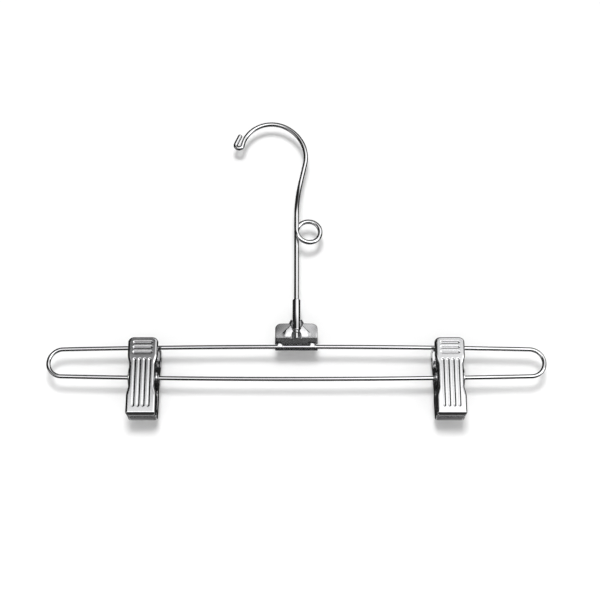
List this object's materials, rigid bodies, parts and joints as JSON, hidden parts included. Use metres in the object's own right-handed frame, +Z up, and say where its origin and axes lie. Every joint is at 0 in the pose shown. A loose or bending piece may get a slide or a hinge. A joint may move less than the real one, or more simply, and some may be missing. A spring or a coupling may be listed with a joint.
{
  "type": "trouser and skirt hanger",
  "caption": "Metal trouser and skirt hanger: swivelling wire hook with a pigtail ring, folded bracket, barrel-shaped wire frame and sprung sheet-metal clips that slide.",
  "frame": {"origin": "the inner side of the hook's crown, where the hook rests on a rod", "axes": "+X along the frame wire, away from the hook's tip, -Y towards the front with the face of the clips, +Z up"},
  "size_m": [0.3558, 0.0278, 0.2375],
  "materials": {
    "chrome_wire": "bright plated wire",
    "satin_bracket": "satin plated sheet",
    "clip_sheet": "nickel plated pressed sheet, soft sheen",
    "spring_wire": "spring steel"
  },
  "bodies": {
    "hook": {"hook_wire": "chrome_wire"},
    "frame": {"swivel_sleeve": "chrome_wire", "top_bracket": "satin_bracket", "frame_wire": "chrome_wire"},
    "left_slider": {"left_pivot_tube": "satin_bracket"},
    "left_clip": {"left_spring": "spring_wire"},
    "left_front": {"left_front_jaw": "clip_sheet"},
    "left_rear": {"left_rear_jaw": "clip_sheet"},
    "right_slider": {"right_pivot_tube": "satin_bracket"},
    "right_clip": {"right_spring": "spring_wire"},
    "right_front": {"right_front_jaw": "clip_sheet"},
    "right_rear": {"right_rear_jaw": "clip_sheet"}
  },
  "joints": [
    {"name": "hook_swivel", "type": "hinge", "parent": "hook", "child": "frame", "pos_m": [0.01942, 0, -0.1574], "axis": [0, 0, 1], "continuous": true},
    {"name": "left_slide", "type": "slide", "parent": "frame", "child": "left_slider", "axis": [-0.9999, 0, 0.0123], "range_m": [-0.081, 0.04]},
    {"name": "left_swing", "type": "hinge", "parent": "left_slider", "child": "left_clip", "pos_m": [-0.08858, 0, -0.20498], "axis": [1, 0, 0], "range_deg": [-6, 6]},
    {"name": "left_squeeze", "type": "hinge", "parent": "left_clip", "child": "left_front", "pos_m": [-0.08858, 0, -0.20498], "axis": [-1, 0, 0], "range_deg": [0, 14], "stiffness_Nm_per_rad": 0.2, "springref_deg": -40.11, "deforming": ["left_spring"]},
    {"name": "left_squeeze_rear", "type": "hinge", "parent": "left_clip", "child": "left_rear", "pos_m": [-0.08858, 0, -0.20498], "axis": [1, 0, 0], "range_deg": [0, 14], "stiffness_Nm_per_rad": 0.2, "springref_deg": -40.11, "deforming": ["left_spring"]},
    {"name": "right_slide", "type": "slide", "parent": "frame", "child": "right_slider", "axis": [0.9999, 0, 0.0123], "range_m": [-0.081, 0.04]},
    {"name": "right_swing", "type": "hinge", "parent": "right_slider", "child": "right_clip", "pos_m": [0.12742, 0, -0.20498], "axis": [1, 0, 0], "range_deg": [-6, 6]},
    {"name": "right_squeeze", "type": "hinge", "parent": "right_clip", "child": "right_front", "pos_m": [0.12742, 0, -0.20498], "axis": [-1, 0, 0], "range_deg": [0, 14], "stiffness_Nm_per_rad": 0.2, "springref_deg": -40.11, "deforming": ["right_spring"]},
    {"name": "right_squeeze_rear", "type": "hinge", "parent": "right_clip", "child": "right_rear", "pos_m": [0.12742, 0, -0.20498], "axis": [1, 0, 0], "range_deg": [0, 14], "stiffness_Nm_per_rad": 0.2, "springref_deg": -40.11, "deforming": ["right_spring"]}
  ],
  "couplings": [
    {"joint": "left_squeeze_rear", "follows": "left_squeeze", "ratio": 1},
    {"joint": "right_squeeze_rear", "follows": "right_squeeze", "ratio": 1}
  ]
}
